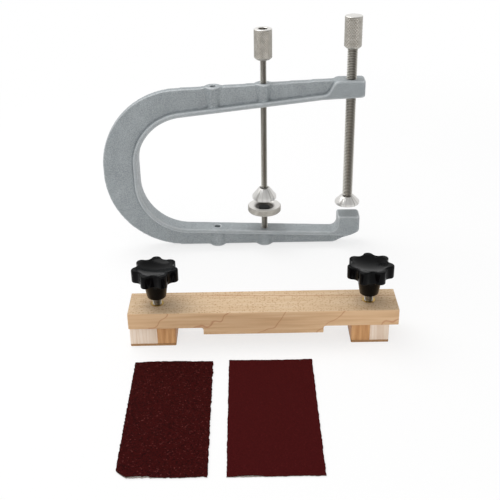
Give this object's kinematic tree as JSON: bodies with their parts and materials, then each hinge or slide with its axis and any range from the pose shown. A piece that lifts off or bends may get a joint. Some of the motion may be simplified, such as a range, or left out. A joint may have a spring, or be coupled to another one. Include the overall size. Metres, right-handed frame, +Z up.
{
  "type": "guitar bridge clamp set",
  "caption": "Deep-throat cast C-clamp with two screws and swivel pads, a wooden caul with star knobs and feet, and abrasive sheets.",
  "frame": {"origin": "middle of the anvil's flat top, on the axis of the end screw", "axes": "+Z up the end screw, +X out of the open end of the throat, -Y towards the viewer, where the caul and the sheets lie"},
  "size_m": [0.2149, 0.2986, 0.1867],
  "materials": {
    "silver_paint": "silver-grey paint on a sand casting",
    "turned_steel": "bright turned and knurled steel",
    "threaded_rod": "machine thread",
    "cup_rubber": "black pad",
    "beech": "sanded beech with fine flecks",
    "pale_wood": "sanded maple",
    "brown_wood": "sanded cherry",
    "sole": "thin tan leather",
    "brass": "turned",
    "black_plastic": "moulded, polished",
    "sheet_backing": "paper backing",
    "coarse_grit": "coarse resin-bonded grit",
    "fine_grit": "fine resin-bonded grit"
  },
  "bodies": {
    "root": {"clamp_frame": "silver_paint", "caul_bar": "beech", "left_bar_insert": "brass", "right_bar_insert": "brass", "coarse_sheet_backing": "sheet_backing", "coarse_sheet_grit": "coarse_grit", "fine_sheet_backing": "sheet_backing", "fine_sheet_grit": "fine_grit"},
    "end_carriage": {"end_thrust_washer": "turned_steel"},
    "end_screw": {"end_screw": "threaded_rod", "end_screw_head": "turned_steel"},
    "end_pad": {"end_swivel_pad": "turned_steel"},
    "inner_carriage": {"inner_thrust_washer": "turned_steel"},
    "inner_screw": {"inner_screw": "threaded_rod", "inner_screw_head": "turned_steel"},
    "inner_pad": {"inner_swivel_pad": "turned_steel"},
    "support_carriage": {"support_cup_pad": "cup_rubber"},
    "support": {"support_disc": "turned_steel", "support_stud": "threaded_rod"},
    "left_foot": {"left_foot_outer_strip": "pale_wood", "left_foot_inner_strip": "brown_wood", "left_foot_sole": "sole", "left_foot_clip": "turned_steel"},
    "left_knob": {"left_knob": "black_plastic", "left_knob_stud": "threaded_rod"},
    "right_foot": {"right_foot_outer_strip": "pale_wood", "right_foot_inner_strip": "brown_wood", "right_foot_sole": "sole", "right_foot_clip": "turned_steel"},
    "right_knob": {"right_knob": "black_plastic", "right_knob_stud": "threaded_rod"}
  },
  "joints": [
    {"name": "end_screw_travel", "type": "slide", "parent": "root", "child": "end_carriage", "axis": [0, 0, 1], "range_m": [-0.0076, 0.0802]},
    {"name": "end_screw_turn", "type": "hinge", "parent": "end_carriage", "child": "end_screw", "pos_m": [0, 0, 0.13], "axis": [0, 0, 1], "range_deg": [-2203.8, 23112.6]},
    {"name": "end_pad_tilt", "type": "hinge", "parent": "end_carriage", "child": "end_pad", "pos_m": [0, 0, 0.0129], "axis": [0, 1, 0], "range_deg": [-5, 5]},
    {"name": "inner_screw_travel", "type": "slide", "parent": "root", "child": "inner_carriage", "axis": [0, 0, 1], "range_m": [-0.0049, 0.0643]},
    {"name": "inner_screw_turn", "type": "hinge", "parent": "inner_carriage", "child": "inner_screw", "pos_m": [-0.0674, 0, 0.125], "axis": [0, 0, 1], "range_deg": [-2220, 28950]},
    {"name": "inner_pad_tilt", "type": "hinge", "parent": "inner_carriage", "child": "inner_pad", "pos_m": [-0.0674, 0, 0.0177], "axis": [0, 1, 0], "range_deg": [-5, 5]},
    {"name": "support_travel", "type": "slide", "parent": "root", "child": "support_carriage", "axis": [0, 0, 1], "range_m": [-0.0055, 0.0039]},
    {"name": "support_turn", "type": "hinge", "parent": "support_carriage", "child": "support", "pos_m": [-0.0674, 0, 0.006], "axis": [0, 0, 1], "range_deg": [-2490, 1770]},
    {"name": "left_foot_travel", "type": "slide", "parent": "root", "child": "left_foot", "axis": [0, 0, 1], "range_m": [-0.0048, 0]},
    {"name": "left_knob_turn", "type": "hinge", "parent": "left_foot", "child": "left_knob", "pos_m": [-0.1436, -0.1395, 0.02], "axis": [0, 0, 1], "range_deg": [-1743, 15]},
    {"name": "right_foot_travel", "type": "slide", "parent": "root", "child": "right_foot", "axis": [0, 0, 1], "range_m": [-0.0048, 0]},
    {"name": "right_knob_turn", "type": "hinge", "parent": "right_foot", "child": "right_knob", "pos_m": [0.0004, -0.1395, 0.02], "axis": [0, 0, 1], "range_deg": [-1743, 15]}
  ],
  "couplings": [
    {"joint": "end_screw_turn", "follows": "end_screw_travel", "rad_per_m": 5026.5},
    {"joint": "inner_screw_turn", "follows": "inner_screw_travel", "rad_per_m": 7854},
    {"joint": "support_turn", "follows": "support_travel", "rad_per_m": 7854},
    {"joint": "left_knob_turn", "follows": "left_foot_travel", "rad_per_m": 6283.2},
    {"joint": "right_knob_turn", "follows": "right_foot_travel", "rad_per_m": 6283.2}
  ]
}
